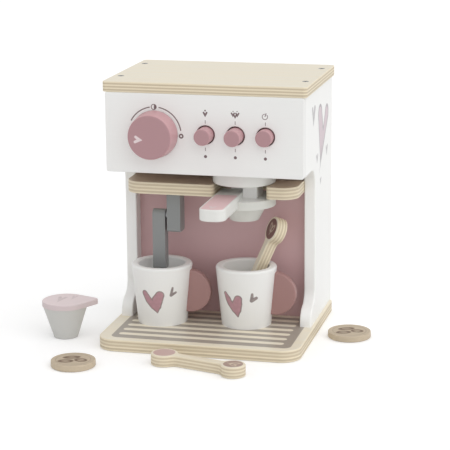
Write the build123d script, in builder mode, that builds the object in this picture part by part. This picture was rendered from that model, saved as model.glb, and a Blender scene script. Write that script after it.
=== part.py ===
from build123d import *
import math
import os

# Toy espresso machine of plywood and painted board, with its cups, stirrers, creamer and coffee pads.
# Millimetres. X runs to the right, Y to the back, Z up. The origin is the middle of the base's underside.

# ---- boards -------------------------------------------------------------------------------------
ply = 11.0  # plywood of the base, the shelf and the stirrers
top_ply = 9.5
side_board = 10.5
front_board = 9.0
inner_board = 6.0  # back panel, box floor and button carrier
rear_board = 4.0
board_edge = 0.8  # rounding of a plywood board's long edges
painted_edge = 1.2  # rounding of a painted board's edges

# ---- cabinet ------------------------------------------------------------------------------------
cabinet_width = 180.0
cabinet_depth = 133.4  # from the front panel's face to the back
cabinet_top = 228.0  # underside of the top board
box_bottom = 156.0  # lower edge of the front panel
board_overhang = 2.5  # base and top board past the side panels
top_back_overhang = 0.8
top_corner = 3.5
base_depth = 171.4
base_front_corner = 17.0
base_back_corner = 8.0
panel_corner = 2.0  # front panel's corners, seen from the front

column_setback = 55.4  # front panel's face to the side panels' narrow part
foot_setback = 35.6
foot_height = 4.0  # straight front of the foot above the base
foot_sweep = 27.0  # height of the curve from the foot into the column
arch_radius = 18.0  # hollow curve below the box
back_panel_setback = 68.2
groove_depth = 3.0
rebate_width = 6.0

# ---- shelf and filter slot ----------------------------------------------------------------------
shelf_setback = 19.0
shelf_top = 143.5
shelf_corner = 15.0
slot_width = 48.0
slot_end_gap = 1.7  # from the pushed-in filter's neck to the slot's end
slot_corner = 6.0
slot_mouth_radius = 4.0

# ---- filter holder ------------------------------------------------------------------------------
filter_inset = 62.4  # cabinet's right side to the filter's axis
filter_collar_radius = 28.5
filter_collar_height = 11.0
filter_back_gap = 0.5  # from the pushed-in filter to the back panel
neck_width = 27.6
neck_reach = 8.3  # front of the neck before the filter's axis
neck_depth = 25.3
neck_height = 13.3
neck_corner = 1.5
flange_height = 7.5
flange_edge = 2.5
bowl_height = 13.8
bowl_top_radius = 20.6
bowl_bottom_radius = 13.3
filter_dowel_radius = 4.0
filter_dowel_bite = 7.0  # depth in the collar and in the bowl
handle_width = 23.6
handle_height = 10.8
handle_length = 87.0
handle_notch = 14.8  # how far the handle's end is let into the neck
handle_offset = 11.4  # handle's middle left of the filter's axis
handle_over_flange = 4.5  # handle's thickness where it lies on the flange
handle_nose = 30.0  # radius of the handle's gently curved front end
handle_corner = 9.0
handle_dowel_radius = 1.4
handle_dowel_bite = 7.0
handle_dowel_pitch = 6.0

# ---- steam wand ---------------------------------------------------------------------------------
wand_inset = 38.6  # cabinet's left side to the wand's middle
wand_setback = 17.9  # shelf's front to the wand's middle
wand_drop = 22.5  # shelf's underside to the pivot
wand_width = 11.8
wand_depth = 10.5
wand_reach = 50.2  # pivot to tip
wand_tip_radius = 2.0
hanger_width = 12.6
hanger_depth = 15.0
hanger_length = 37.6
hanger_dowel_radius = 2.0
hanger_dowel_bite = 7.0  # length of the hanger's dowels in the hanger and in the shelf
wand_gap = 2.0  # between wand and hanger
pivot_radius = 2.0
pivot_head_radius = 4.0
pivot_head_height = 2.2
pivot_head_depth = 0.3  # head below the wand's face
pivot_bite = 9.0  # length of the pivot screw in the hanger

# ---- knob and buttons ---------------------------------------------------------------------------
knob_inset = 45.5  # cabinet's left side to the knob's axis
knob_drop = 36.3  # top board's underside to the knob's axis
knob_radius = 21.3  # at the front panel
knob_face_radius = 19.8
knob_stand_out = 18.0
knob_gap = 0.6
knob_edge = 1.6
axle_radius = 4.0
axle_bite = 11.0  # length of the axle in the knob
keeper_radius = 10.0  # washers and collars behind the front panel
keeper_thickness = 3.0
button_inset = 34.2  # cabinet's right side to the last button's axis
button_pitch = 27.0
button_drop = 35.4  # top board's underside to the buttons' axes
button_radius = 7.4
button_hole_gap = 1.0
button_stand_outs = {"one_cup": 13.5, "two_cups": 14.0, "power": 9.0}
button_edge = 1.4
button_travel = 5.0
stem_radius = 3.5
stem_overrun = 3.0  # stem past the carrier
spring_length = 15.0
spring_wire_radius = 0.45
spring_radius = 5.2
spring_turns = 6
carrier_margin = 15.0

# ---- cups ---------------------------------------------------------------------------------------
cup_left_inset = 41.2  # cabinet's left side to the left cup's axis
cup_left_room = 36.5  # back panel to the left cup's axis
cup_right_offset = 1.6  # right cup's axis to the right of the filter's axis
cup_right_room = 29.9  # back panel to the right cup's axis
cup_rim_radius = 28.1
cup_foot_radius = 22.75
cup_height = 55.4
cup_bore_radius = 21.3
cup_bore_floor_radius = 18.0
cup_floor = 11.0
cup_lip = 2.0
cup_foot_edge = 1.5
cup_handle_radius = 20.0
cup_handle_thickness = 7.0
cup_handle_reach = 26.6  # cup's axis to the handle disc's middle
cup_handle_height = 30.0
cup_handle_edge = 1.0

# ---- stirrers, creamer and coffee pads ----------------------------------------------------------
stirrer_big_end = 11.8
stirrer_small_end = 10.8
stirrer_span = 68.6  # between the middles of the two ends
stirrer_shaft = 8.0
stirrer_thickness = 10.2
stirrer_throat = 7.0  # hollow rounding between shaft and ends
stirrer_edge = 1.0
lying_stirrer_x = -21.5  # middle of the big end
lying_stirrer_room = 22.9  # base's front to the middle of the big end
lying_stirrer_turn = -15.3
standing_stirrer_offset = (-4.74, 2.05)  # the standing one's foot from the right cup's axis
standing_stirrer_lift = 2.5  # the foot's middle above the cup's floor
standing_stirrer_axis = (0.3855, 0.0999, 0.9173)
standing_stirrer_face = (-0.7684, -0.5157, 0.3791)
creamer_room = 39.4  # base's left side to the creamer's axis
creamer_y = -50.4
creamer_foot_radius = 11.0
creamer_rim_radius = 20.5
creamer_height = 29.9
creamer_lid_radius = 21.0
creamer_lid_thickness = 4.8
creamer_tab_reach = 25.6  # lid's axis to the middle of the tab's round end
creamer_tab_radius = 4.3
creamer_tab_turn = 21.0  # tab's direction, towards the back from X
creamer_dowel_radius = 4.0
creamer_dowel_bite = 4.0
creamer_edge = 1.0
pad_left_outset = 5.4  # base's left side to the left pad's axis
pad_left_room = 45.0  # base's front to the left pad's axis
pad_right_outset = 30.1  # base's right side to the right pad's axis
pad_right_y = 4.3
pad_radius = 19.6
pad_thickness = 5.5
pad_edge = 0.8

# ---- fasteners and clearances -------------------------------------------------------------------
screw_radius = 1.5
screw_head_radius = 3.0
screw_head_height = 1.6
screw_slot_width = 0.7
screw_slot_depth = 0.9
lid_screw_length = 26.0
base_screw_length = 30.0
rear_screw_length = 12.0
screw_inset = 24.0  # first and last screw of a row from the end
dowel_radius = 3.0
dowel_bite = 6.0  # dowel's depth in the front panel or in a side panel
dowel_depth = 12.0  # dowel's depth in the other board
fit = 0.05  # glued and screwed joints
running = 0.1  # turning and sliding fits
clearance = 0.3  # between pieces that move past each other

# ---- places worked out from the sizes -----------------------------------------------------------
cabinet_back = base_depth / 2
cabinet_front = cabinet_back - cabinet_depth
side_front = cabinet_front + front_board
half_width = cabinet_width / 2
inner_half = half_width - side_board
side_middle = half_width - side_board / 2
column_front = cabinet_front + column_setback
foot_front = cabinet_front + foot_setback
back_panel_front = cabinet_front + back_panel_setback
shelf_front = cabinet_front + shelf_setback
shelf_depth = back_panel_front - shelf_front
shelf_bottom = shelf_top - ply
board_width = cabinet_width + 2 * board_overhang
knob_x = knob_inset - half_width
knob_z = cabinet_top - knob_drop
button_names = list(button_stand_outs)
button_x = half_width - button_inset - (len(button_names) - 1) * button_pitch
button_z = cabinet_top - button_drop
filter_x = half_width - filter_inset
filter_y = back_panel_front - filter_back_gap - filter_collar_radius
neck_front = filter_y - neck_reach
neck_back = neck_front + neck_depth
slot_back = neck_back + slot_end_gap
slot_depth = slot_back - shelf_front
collar_bottom = shelf_top + clearance
flange_top = collar_bottom - neck_height
bowl_bottom = flange_top - flange_height - bowl_height
wand_x = wand_inset - half_width
wand_y = shelf_front + wand_setback
wand_pivot_z = shelf_bottom - wand_drop
wand_left = wand_x - wand_width / 2
hanger_left = wand_x + wand_width / 2 + wand_gap
hanger_front = wand_y - wand_depth / 2
hanger_bottom = shelf_bottom - hanger_length
keeper_front = side_front + clearance
keeper_back = keeper_front + keeper_thickness
carrier_front = keeper_back + spring_length
carrier_bottom = box_bottom + inner_board
cup_places = {
    "left": (cup_left_inset - half_width, back_panel_front - cup_left_room),
    "right": (filter_x + cup_right_offset, back_panel_front - cup_right_room),
}
pad_places = {
    "left": (-board_width / 2 - pad_left_outset, -base_depth / 2 - pad_left_room),
    "right": (board_width / 2 + pad_right_outset, pad_right_y),
}
CENTRE_TOP = (Align.CENTER, Align.CENTER, Align.MAX)
CENTRE_BOTTOM = (Align.CENTER, Align.CENTER, Align.MIN)
FRONT = Plane.XZ.offset(-cabinet_front)  # front panel's face, its normal towards the user
os.makedirs("parts", exist_ok=True)


def save(piece, label):
    """Names a finished piece and writes it."""
    piece.part.label = label
    export_step(piece.part, f"parts/{label}.step")


def screw(length, gap=0.0, mode=Mode.ADD):
    """Countersunk screw along local -Z, head flush with local Z = 0. With a gap it is the hole for one."""
    Cylinder(screw_radius + gap, length + gap, align=CENTRE_TOP, mode=mode)
    Cone(screw_radius + gap, screw_head_radius + gap, screw_head_height, align=CENTRE_TOP, mode=mode)


def screw_group(label, places, length):
    """Equal countersunk screws with a cross slot, one at each place."""
    with BuildPart() as group:
        with Locations(*places):
            screw(length)
            Box(3 * screw_radius, screw_slot_width, screw_slot_depth, align=CENTRE_TOP, mode=Mode.SUBTRACT)
            Box(screw_slot_width, 3 * screw_radius, screw_slot_depth, align=CENTRE_TOP, mode=Mode.SUBTRACT)
    save(group, label)


def at_height(sketch_or_part, axis, value):
    """The vertices or edges whose centre lies at one value along an axis."""
    return sketch_or_part.filter_by_position(axis, value - 0.01, value + 0.01)


# ---- where the fasteners go ---------------------------------------------------------------------
top_of_lid = cabinet_top + top_ply
lid_rows = (side_front + screw_inset, cabinet_back - screw_inset)
lid_screw_places = [
    Plane(origin=(x, y, top_of_lid), z_dir=(0, 0, 1)) for x in (-side_middle, side_middle) for y in lid_rows
]
base_rows = (column_front + screw_inset / 2, cabinet_back - screw_inset)
base_screw_places = [
    Plane(origin=(x, y, 0), z_dir=(0, 0, -1)) for x in (-side_middle, side_middle) for y in base_rows
]
hanger_x = hanger_left + hanger_width / 2
hanger_rows = (hanger_front + hanger_depth / 4, hanger_front + 3 * hanger_depth / 4)
hanger_dowel_places = [(hanger_x, y, shelf_bottom) for y in hanger_rows]
rear_screw_x = inner_half + rebate_width / 2
rear_rows = (ply + screw_inset, (ply + cabinet_top) / 2, cabinet_top - screw_inset)
rear_screw_places = [
    Plane(origin=(x, cabinet_back, z), z_dir=(0, 1, 0))
    for x in (-rear_screw_x, rear_screw_x)
    for z in rear_rows
]
front_dowel_rows = (box_bottom + screw_inset / 2, cabinet_top - screw_inset / 2)
front_dowel_places = [
    Plane(origin=(x, side_front - dowel_bite, z), z_dir=(0, 1, 0))
    for x in (-side_middle, side_middle)
    for z in front_dowel_rows
]
shelf_dowel_y = (column_front + back_panel_front) / 2
shelf_dowel_places = [
    Plane(
        origin=(side * (inner_half + dowel_bite), shelf_dowel_y, shelf_bottom + ply / 2),
        z_dir=(-side, 0, 0),
    )
    for side in (-1, 1)
]


def dowel(gap=0.0, mode=Mode.ADD):
    """Plain wooden dowel along local +Z. With a gap it is the hole for one."""
    Cylinder(dowel_radius + gap, dowel_bite + dowel_depth, align=CENTRE_BOTTOM, mode=mode)


def hanger_dowel(gap=0.0, mode=Mode.ADD):
    """Thin upright dowel, half of it in the hanger. With a gap it is the hole for one."""
    Cylinder(hanger_dowel_radius + gap, 2 * (hanger_dowel_bite + gap), mode=mode)


# ---- base, side panels and top board ------------------------------------------------------------
with BuildPart() as base_board:
    with BuildSketch() as base_outline:
        Rectangle(board_width, base_depth)
        fillet(base_outline.vertices().group_by(Axis.Y)[0], base_front_corner)
        fillet(base_outline.vertices().group_by(Axis.Y)[-1], base_back_corner)
    extrude(amount=ply)
    fillet(base_board.faces().sort_by(Axis.Z)[-1].edges(), board_edge)
    fillet(base_board.faces().sort_by(Axis.Z)[0].edges(), board_edge)
    with Locations(*base_screw_places):
        screw(base_screw_length, fit, Mode.SUBTRACT)
save(base_board, "base_board")

with BuildPart() as top_board:
    with BuildSketch(Plane.XY.offset(cabinet_top)) as top_outline:
        with Locations((0, cabinet_front)):
            Rectangle(board_width, cabinet_depth + top_back_overhang, align=(Align.CENTER, Align.MIN))
        fillet(top_outline.vertices(), top_corner)
    extrude(amount=top_ply)
    fillet(top_board.faces().sort_by(Axis.Z)[-1].edges(), board_edge)
    fillet(top_board.faces().sort_by(Axis.Z)[0].edges(), board_edge)
    with Locations(*lid_screw_places):
        screw(lid_screw_length, fit, Mode.SUBTRACT)
save(top_board, "top_board")


def side_panel(label, side):
    """One side board: box above, column below, swept foot. side is -1 for the left, 1 for the right."""
    foot_top = ply + foot_height
    sweep_top = foot_top + foot_sweep
    sweep_middle = ((foot_front + column_front) / 2, foot_top + foot_sweep / 2)
    with BuildPart() as panel:
        with BuildSketch(Plane.YZ.offset(side * inner_half)):
            with BuildLine():
                foot = Line((foot_front, ply), (foot_front, foot_top))
                low_sweep = TangentArc(foot @ 1, sweep_middle, tangent=foot % 1)
                high_sweep = TangentArc(low_sweep @ 1, (column_front, sweep_top), tangent=low_sweep % 1)
                column = Line(high_sweep @ 1, (column_front, box_bottom - arch_radius))
                arch = TangentArc(column @ 1, (column_front - arch_radius, box_bottom), tangent=column % 1)
                Polyline(
                    arch @ 1,
                    (side_front, box_bottom),
                    (side_front, cabinet_top),
                    (cabinet_back, cabinet_top),
                    (cabinet_back, ply),
                    foot @ 0,
                )
            make_face()
        extrude(amount=side * side_board)
        front_edges = panel.edges().filter_by(Axis.X, reverse=True)
        front_edges = front_edges.filter_by(
            lambda edge: foot_front - 0.1 < edge.center().Y < column_front + 0.1
            and ply + 0.1 < edge.center().Z < box_bottom - 0.1
        )
        fillet(front_edges, painted_edge)
        with Locations((side * inner_half, back_panel_front - fit, ply)):
            Box(
                2 * groove_depth,
                inner_board + 2 * fit,
                cabinet_top - ply,
                align=(Align.CENTER, Align.MIN, Align.MIN),
                mode=Mode.SUBTRACT,
            )
        with Locations((side * inner_half, cabinet_back, ply)):
            Box(
                2 * rebate_width + 2 * fit,
                2 * rear_board,
                cabinet_top - ply,
                align=(Align.CENTER, Align.CENTER, Align.MIN),
                mode=Mode.SUBTRACT,
            )
        with Locations(*lid_screw_places):
            screw(lid_screw_length, fit, Mode.SUBTRACT)
        with Locations(*base_screw_places):
            screw(base_screw_length, fit, Mode.SUBTRACT)
        with Locations(*rear_screw_places):
            screw(rear_screw_length, fit, Mode.SUBTRACT)
        with Locations(*front_dowel_places):
            dowel(fit, Mode.SUBTRACT)
        with Locations(*shelf_dowel_places):
            dowel(fit, Mode.SUBTRACT)
    save(panel, label)


side_panel("side_panel_left", -1)
side_panel("side_panel_right", 1)

# ---- front panel and the boards behind it -------------------------------------------------------
button_places = [(button_x + number * button_pitch, button_z) for number in range(len(button_names))]

with BuildPart() as front_panel:
    with BuildSketch(FRONT) as front_outline:
        with Locations((0, box_bottom)):
            Rectangle(cabinet_width, cabinet_top - box_bottom, align=(Align.CENTER, Align.MIN))
        fillet(front_outline.vertices(), panel_corner)
        with Locations(*button_places):
            Circle(button_radius + button_hole_gap, mode=Mode.SUBTRACT)
        with Locations((knob_x, knob_z)):
            Circle(axle_radius + running, mode=Mode.SUBTRACT)
    extrude(amount=-front_board)
    fillet(front_panel.faces().sort_by(Axis.Y)[0].edges(), board_edge)
    with Locations(*front_dowel_places):
        dowel(fit, Mode.SUBTRACT)
save(front_panel, "front_panel")

with BuildPart() as back_panel:
    with Locations((0, back_panel_front, ply)):
        Box(
            2 * (inner_half + groove_depth - fit),
            inner_board,
            cabinet_top - ply,
            align=(Align.CENTER, Align.MIN, Align.MIN),
        )
save(back_panel, "back_panel")

with BuildPart() as box_floor:
    with Locations((0, side_front, box_bottom)):
        Box(
            2 * inner_half,
            back_panel_front - side_front,
            inner_board,
            align=(Align.CENTER, Align.MIN, Align.MIN),
        )
save(box_floor, "box_floor")

with BuildPart() as rear_cover:
    with Locations((0, cabinet_back, ply)):
        Box(
            2 * (inner_half + rebate_width),
            rear_board,
            cabinet_top - ply,
            align=(Align.CENTER, Align.MAX, Align.MIN),
        )
    with Locations(*rear_screw_places):
        screw(rear_screw_length, fit, Mode.SUBTRACT)
save(rear_cover, "rear_cover")

with BuildPart() as button_carrier:
    carrier_left = button_places[0][0] - carrier_margin
    carrier_right = button_places[-1][0] + carrier_margin
    carrier_top = button_z + carrier_margin
    with BuildSketch(Plane.XZ.offset(-carrier_front)):
        with Locations((carrier_left, carrier_bottom)):
            Rectangle(
                carrier_right - carrier_left, carrier_top - carrier_bottom, align=(Align.MIN, Align.MIN)
            )
        with Locations(*button_places):
            Circle(stem_radius + running, mode=Mode.SUBTRACT)
    extrude(amount=-inner_board)
save(button_carrier, "button_carrier")

# ---- shelf with the slot that the filter holder slides in --------------------------------------
with BuildPart() as shelf_board:
    with BuildSketch(Plane.XY.offset(shelf_bottom)) as shelf_outline:
        with Locations((0, shelf_front)):
            Rectangle(2 * inner_half, shelf_depth, align=(Align.CENTER, Align.MIN))
        fillet(shelf_outline.vertices().group_by(Axis.Y)[0], shelf_corner)
        with Locations((filter_x, shelf_front)):
            Rectangle(slot_width, slot_depth, align=(Align.CENTER, Align.MIN), mode=Mode.SUBTRACT)
        slot_corners = at_height(shelf_outline.vertices(), Axis.Y, slot_back)
        fillet(slot_corners, slot_corner)
        slot_mouth = at_height(shelf_outline.vertices(), Axis.Y, shelf_front).sort_by(
            lambda corner: abs(corner.X - filter_x)
        )[:2]
        fillet(slot_mouth, slot_mouth_radius)
    extrude(amount=ply)
    for face in (shelf_board.faces().sort_by(Axis.Z)[-1], shelf_board.faces().sort_by(Axis.Z)[0]):
        open_edges = face.edges().filter_by(
            lambda edge: abs(edge.center().X) < inner_half - 0.1 and edge.center().Y < back_panel_front - 0.1
        )
        fillet(open_edges, board_edge)
    with Locations(*hanger_dowel_places):
        hanger_dowel(fit, Mode.SUBTRACT)
    with Locations(*shelf_dowel_places):
        dowel(fit, Mode.SUBTRACT)
save(shelf_board, "shelf_board")

# ---- screws and dowels that hold the cabinet ----------------------------------------------------
screw_group("lid_screws", lid_screw_places, lid_screw_length)
screw_group("base_screws", base_screw_places, base_screw_length)
screw_group("rear_screws", rear_screw_places, rear_screw_length)

with BuildPart() as front_dowels:
    with Locations(*front_dowel_places):
        dowel()
save(front_dowels, "front_dowels")

with BuildPart() as shelf_dowels:
    with Locations(*shelf_dowel_places):
        dowel()
save(shelf_dowels, "shelf_dowels")

with BuildPart() as hanger_dowels:
    with Locations(*hanger_dowel_places):
        hanger_dowel()
save(hanger_dowels, "hanger_dowels")

# ---- steam wand on its hanger -------------------------------------------------------------------
pivot_start = wand_left + pivot_head_depth
pivot_length = hanger_left + pivot_bite - pivot_start
pivot_place = Plane(origin=(pivot_start, wand_y, wand_pivot_z), z_dir=(-1, 0, 0))


def pivot(gap=0.0, mode=Mode.ADD):
    """The wand's countersunk screw, its head at local Z = 0. With a gap it is the hole that turns on it."""
    Cylinder(pivot_radius + gap, pivot_length, align=CENTRE_TOP, mode=mode)
    Cone(pivot_radius + gap, pivot_head_radius + gap, pivot_head_height, align=CENTRE_TOP, mode=mode)


with BuildPart() as wand_hanger:
    with BuildSketch(Plane.YZ.offset(hanger_left)) as hanger_outline:
        with Locations((hanger_front, hanger_bottom)):
            Rectangle(hanger_depth, shelf_bottom - hanger_bottom, align=(Align.MIN, Align.MIN))
        fillet(hanger_outline.vertices().group_by(Axis.Y)[0], wand_tip_radius)
    extrude(amount=hanger_width)
    with Locations(Plane(origin=(hanger_left, wand_y, wand_pivot_z), z_dir=(1, 0, 0))):
        Cylinder(pivot_radius + fit, pivot_bite, align=CENTRE_BOTTOM, mode=Mode.SUBTRACT)
    with Locations(*hanger_dowel_places):
        hanger_dowel(fit, Mode.SUBTRACT)
save(wand_hanger, "wand_hanger")

with BuildPart() as steam_wand:
    with BuildSketch(Plane.YZ.offset(wand_left)) as wand_outline:
        with Locations((wand_y, wand_pivot_z)):
            Circle(wand_depth / 2)
            Rectangle(wand_depth, wand_reach, align=(Align.CENTER, Align.MAX))
        fillet(at_height(wand_outline.vertices(), Axis.Y, wand_pivot_z - wand_reach), wand_tip_radius)
    extrude(amount=wand_width)
    with Locations(pivot_place):
        pivot(running, Mode.SUBTRACT)
        Cylinder(pivot_head_radius + running, pivot_head_depth, align=CENTRE_BOTTOM, mode=Mode.SUBTRACT)
save(steam_wand, "steam_wand")

with BuildPart() as wand_pivot:
    with Locations(pivot_place):
        pivot()
        Box(pivot_head_radius, screw_slot_width, screw_slot_depth, align=CENTRE_TOP, mode=Mode.SUBTRACT)
        Box(screw_slot_width, pivot_head_radius, screw_slot_depth, align=CENTRE_TOP, mode=Mode.SUBTRACT)
save(wand_pivot, "wand_pivot_screw")

with BuildPart() as wand_washer:
    with BuildSketch(Plane.YZ.offset(hanger_left)):
        with Locations((wand_y, wand_pivot_z)):
            Circle(pivot_head_radius)
            Circle(pivot_radius + fit, mode=Mode.SUBTRACT)
    extrude(amount=-(wand_gap - clearance))
save(wand_washer, "wand_washer")

# ---- filter holder, which slides out of the shelf -----------------------------------------------
filter_bottom = flange_top - flange_height
dowel_low = filter_bottom - filter_dowel_bite + flange_height / 2
dowel_high = collar_bottom + filter_dowel_bite
handle_x = filter_x - handle_offset
handle_right = handle_x + handle_width / 2
handle_end = neck_front + handle_notch
handle_bottom = flange_top + handle_over_flange - handle_height
handle_joint_z = flange_top + handle_over_flange / 2
handle_joint_x = max(handle_x, filter_x - neck_width / 2 + handle_dowel_pitch)
handle_dowel_places = [
    Plane(
        origin=(handle_joint_x + side * handle_dowel_pitch / 2, handle_end, handle_joint_z),
        z_dir=(0, 1, 0),
    )
    for side in (-1, 1)
]
filter_dowel_x = (handle_right + filter_x + neck_width / 2) / 2  # middle of the neck beside the handle

with BuildPart() as filter_collar:
    with BuildSketch(Plane.XY.offset(collar_bottom)):
        with Locations((filter_x, filter_y)):
            Circle(filter_collar_radius)
    extrude(amount=filter_collar_height)
    fillet(filter_collar.edges(), painted_edge)
    with Locations((filter_dowel_x, filter_y, collar_bottom)):
        Cylinder(filter_dowel_radius + fit, filter_dowel_bite, align=CENTRE_BOTTOM, mode=Mode.SUBTRACT)
save(filter_collar, "filter_collar")

with BuildPart() as filter_neck:
    with BuildSketch(Plane.XY.offset(flange_top)):
        with Locations((filter_x, neck_front + neck_depth / 2)):
            RectangleRounded(neck_width, neck_depth, neck_corner)
        with Locations((handle_right + fit, handle_end + fit)):
            Rectangle(neck_width, neck_depth, align=(Align.MAX, Align.MAX), mode=Mode.SUBTRACT)
        with Locations((filter_dowel_x, filter_y)):
            Circle(filter_dowel_radius + fit, mode=Mode.SUBTRACT)
    extrude(amount=collar_bottom - flange_top)
    with Locations(*handle_dowel_places):
        Cylinder(handle_dowel_radius + fit, 2 * handle_dowel_bite, mode=Mode.SUBTRACT)
save(filter_neck, "filter_neck")

with BuildPart() as filter_bowl:
    bowl_plane = Plane(origin=(filter_x, filter_y, 0), x_dir=(1, 0, 0), z_dir=(0, -1, 0))
    with BuildSketch(bowl_plane) as bowl_outline:
        with BuildLine():
            Polyline(
                (0, flange_top),
                (filter_collar_radius, flange_top),
                (filter_collar_radius, filter_bottom),
                (bowl_top_radius, filter_bottom),
                (bowl_bottom_radius, bowl_bottom),
                (0, bowl_bottom),
                close=True,
            )
        make_face()
        fillet(at_height(bowl_outline.vertices(), Axis.X, filter_x + filter_collar_radius), painted_edge)
        fillet(at_height(bowl_outline.vertices(), Axis.X, filter_x + bowl_top_radius), flange_edge)
        fillet(at_height(bowl_outline.vertices(), Axis.X, filter_x + bowl_bottom_radius), flange_edge)
    revolve(axis=Axis((filter_x, filter_y, 0), (0, 0, 1)))
    with Locations((filter_dowel_x, filter_y, flange_top)):
        Cylinder(filter_dowel_radius + fit, flange_top - dowel_low, align=CENTRE_TOP, mode=Mode.SUBTRACT)
save(filter_bowl, "filter_bowl")

with BuildPart() as filter_handle:
    with BuildSketch(Plane.XY.offset(handle_bottom)) as handle_outline:
        with Locations((handle_x, handle_end - handle_length + handle_nose)):
            Circle(handle_nose)
            Rectangle(handle_width, 2 * handle_nose, mode=Mode.INTERSECT)
            Rectangle(handle_width, handle_length - handle_nose, align=(Align.CENTER, Align.MIN))
        fillet(handle_outline.vertices().group_by(Axis.Y)[0], handle_corner)
    extrude(amount=handle_height)
    for face in (filter_handle.faces().sort_by(Axis.Z)[-1], filter_handle.faces().sort_by(Axis.Z)[0]):
        fillet(face.edges().filter_by(lambda edge: edge.center().Y < handle_end - 0.1), painted_edge)
    with Locations((filter_x, filter_y, flange_top)):
        Cylinder(filter_collar_radius + fit, 2 * handle_height, align=CENTRE_TOP, mode=Mode.SUBTRACT)
    with Locations(*handle_dowel_places):
        Cylinder(handle_dowel_radius + fit, 2 * handle_dowel_bite, mode=Mode.SUBTRACT)
save(filter_handle, "filter_handle")

with BuildPart() as handle_dowels:
    with Locations(*handle_dowel_places):
        Cylinder(handle_dowel_radius, 2 * handle_dowel_bite)
save(handle_dowels, "handle_dowels")

with BuildPart() as filter_dowel:
    with Locations((filter_dowel_x, filter_y, dowel_low)):
        Cylinder(filter_dowel_radius, dowel_high - dowel_low, align=CENTRE_BOTTOM)
save(filter_dowel, "filter_dowel")

# ---- turning knob -------------------------------------------------------------------------------
knob_front = cabinet_front - knob_stand_out
knob_back = cabinet_front - knob_gap
axle_front = knob_back - axle_bite


def facing_back(x, y, z):
    """A plane at one point whose normal runs to the back."""
    return Plane(origin=(x, y, z), x_dir=(1, 0, 0), z_dir=(0, 1, 0))


with BuildPart() as knob:
    with Locations(facing_back(knob_x, knob_front, knob_z)):
        Cone(knob_face_radius, knob_radius, knob_back - knob_front, align=CENTRE_BOTTOM)
    fillet(knob.faces().sort_by(Axis.Y)[0].edges(), knob_edge)
    with Locations(facing_back(knob_x, knob_back, knob_z)):
        Cylinder(axle_radius + fit, axle_bite, align=CENTRE_TOP, mode=Mode.SUBTRACT)
save(knob, "knob")

with BuildPart() as knob_axle:
    with Locations(facing_back(knob_x, axle_front, knob_z)):
        Cylinder(axle_radius, keeper_back - axle_front, align=CENTRE_BOTTOM)
    with Locations(facing_back(knob_x, keeper_back, knob_z)):
        Cylinder(screw_radius + fit, rear_screw_length, align=CENTRE_TOP, mode=Mode.SUBTRACT)
save(knob_axle, "knob_axle")

with BuildPart() as knob_washer:
    with BuildSketch(facing_back(knob_x, keeper_front, knob_z)):
        Circle(keeper_radius)
        Circle(axle_radius + fit, mode=Mode.SUBTRACT)
    extrude(amount=keeper_thickness)
save(knob_washer, "knob_washer")

with BuildPart() as knob_screw:
    with Locations(facing_back(knob_x, keeper_back, knob_z)):
        Cylinder(screw_radius, rear_screw_length, align=CENTRE_TOP)
        Cylinder(axle_radius + screw_radius, screw_head_height, align=CENTRE_BOTTOM)
    fillet(knob_screw.faces().sort_by(Axis.Y)[-1].edges(), screw_head_height / 2)
save(knob_screw, "knob_screw")


# ---- push buttons with their collars and return springs ----------------------------------------
def push_button(name, place, stand_out):
    """A turned button, the collar that keeps it in the panel, and the spring that returns it."""
    x, z = place
    front = cabinet_front - stand_out
    stem_end = carrier_front + inner_board + stem_overrun
    with BuildPart() as button:
        with Locations(facing_back(x, front, z)):
            Cylinder(button_radius, keeper_front - front, align=CENTRE_BOTTOM)
            Cylinder(stem_radius, stem_end - front, align=CENTRE_BOTTOM)
        fillet(button.faces().sort_by(Axis.Y)[0].edges(), button_edge)
    save(button, f"button_{name}")
    with BuildPart() as collar:
        with BuildSketch(facing_back(x, keeper_front, z)):
            Circle(keeper_radius)
            Circle(stem_radius + fit, mode=Mode.SUBTRACT)
        extrude(amount=keeper_thickness)
    save(collar, f"button_collar_{name}")
    coil_length = spring_length - 2 * (spring_wire_radius + running)
    coil_start = keeper_back + spring_wire_radius + running
    with BuildPart() as spring:
        with BuildLine() as coil:
            Helix(
                pitch=coil_length / spring_turns,
                height=coil_length,
                radius=spring_radius,
                center=(x, coil_start, z),
                direction=(0, 1, 0),
            )
        with BuildSketch(Plane(origin=coil.line @ 0, z_dir=coil.line % 0)):
            Circle(spring_wire_radius)
        sweep(is_frenet=True)
    save(spring, f"button_spring_{name}")


for name, place in zip(button_names, button_places):
    push_button(name, place, button_stand_outs[name])


# ---- cups ---------------------------------------------------------------------------------------
def cup_outline():
    """Half of the cup's outer shape, in its own plane through the cup's axis."""
    Polyline(
        (0, ply),
        (cup_foot_radius, ply),
        (cup_rim_radius, ply + cup_height),
        (0, ply + cup_height),
        close=True,
    )


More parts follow.
